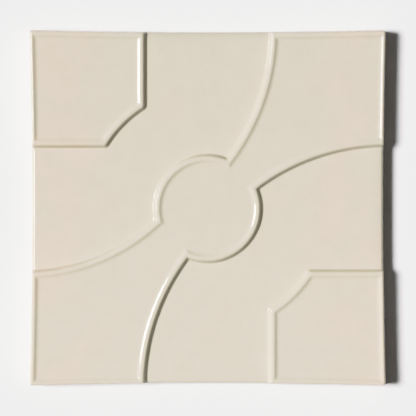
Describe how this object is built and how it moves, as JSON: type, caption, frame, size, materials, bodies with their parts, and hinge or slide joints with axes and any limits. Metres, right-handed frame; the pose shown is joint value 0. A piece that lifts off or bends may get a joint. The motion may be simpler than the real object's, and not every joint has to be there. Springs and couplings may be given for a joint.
{
  "type": "ceramic accent tile",
  "caption": "Square glazed ceramic accent tile with a raised relief: a diagonal band with a round centre between low fields and cut-corner trays, each with a rounded rim.",
  "frame": {"origin": "centre of the flat back, in the plane that the tile is bedded on", "axes": "+Z out of the glazed face, +X along one side, +Y along the next side, with the raised band running from the -X -Y corner to the +X +Y corner"},
  "size_m": [0.1524, 0.1524, 0.0103],
  "materials": {
    "glaze": "glossy cream glaze"
  },
  "bodies": {
    "root": {"relief_tile": "glaze"}
  },
  "joints": []
}
